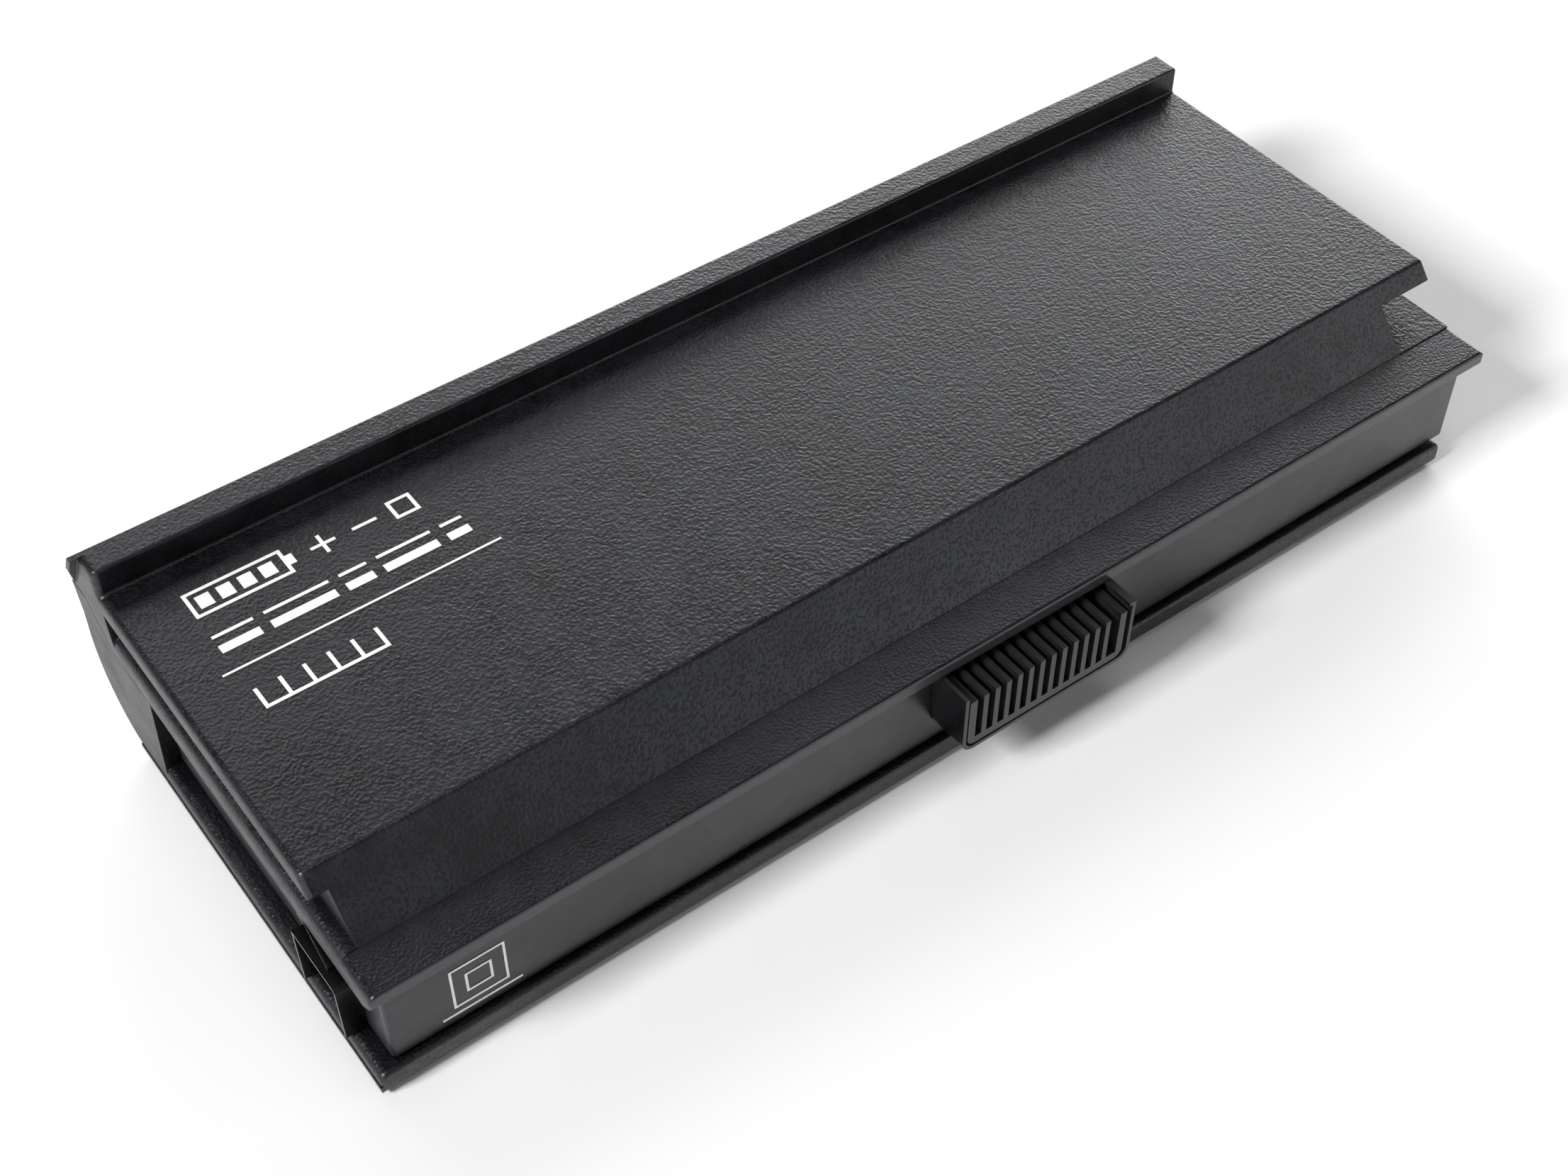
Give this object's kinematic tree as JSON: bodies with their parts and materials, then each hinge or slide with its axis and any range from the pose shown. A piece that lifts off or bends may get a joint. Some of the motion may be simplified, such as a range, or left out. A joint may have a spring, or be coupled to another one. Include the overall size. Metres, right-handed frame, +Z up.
{
  "type": "removable battery pack",
  "caption": "Slim rechargeable battery pack with a rear cell barrel, side grooves that slide into a host, a slotted blade connector on the front wall and a sprung latch finger at an end.",
  "frame": {"origin": "on the resting plane under the centre of the overall bounding box", "axes": "+X along the pack's length towards its blank end, +Y from the connector wall towards the cell barrel, +Z up out of the printed top plate"},
  "size_m": [0.151, 0.0674, 0.0272],
  "materials": {
    "textured_plastic": "fine leather grain",
    "smooth_plastic": "satin",
    "base_plastic": "satin",
    "connector_plastic": "satin",
    "contact_metal": "satin",
    "cell_can": "satin, nickel-plated can",
    "nickel_strip": "satin",
    "insulator": "matte",
    "paper_ring": "matte",
    "board_laminate": "satin solder mask",
    "chip_plastic": "matte",
    "component_ceramic": "satin",
    "lead_red": "satin",
    "lead_black": "satin",
    "white_ink": "matte"
  },
  "bodies": {
    "pack": {"upper_shell": "textured_plastic", "front_frame": "smooth_plastic", "lower_shell": "textured_plastic", "bottom_skin": "base_plastic", "connector_shroud": "connector_plastic", "connector_comb": "connector_plastic", "contact_blades": "contact_metal", "latch_keeper": "textured_plastic", "strip_left": "nickel_strip", "strip_right": "nickel_strip", "strip_centre": "nickel_strip", "end_pad_left": "insulator", "end_pad_right": "insulator", "centre_pad": "insulator", "protection_board": "board_laminate", "controller_chip": "chip_plastic", "mosfet_pair": "chip_plastic", "sense_resistor": "chip_plastic", "capacitor_row": "component_ceramic", "thermal_fuse": "nickel_strip", "thermistor": "component_ceramic", "lead_negative_left": "lead_black", "lead_negative_right": "lead_black", "lead_positive": "lead_red", "lead_thermistor": "lead_black", "rating_print": "white_ink", "symbol_print": "white_ink", "cell_rear_left": "cell_can", "ring_rear_left": "paper_ring", "cell_rear_right": "cell_can", "ring_rear_right": "paper_ring", "cell_front_left": "cell_can", "ring_front_left": "paper_ring", "cell_front_right": "cell_can", "ring_front_right": "paper_ring"},
    "finger": {"latch_finger": "smooth_plastic"}
  },
  "joints": [
    {"name": "finger_flex", "type": "hinge", "parent": "pack", "child": "finger", "pos_m": [-0.07405, -0.015, 0.01418], "axis": [-1, 0, 0], "range_deg": [0, 12], "stiffness_Nm_per_rad": 0.014}
  ]
}
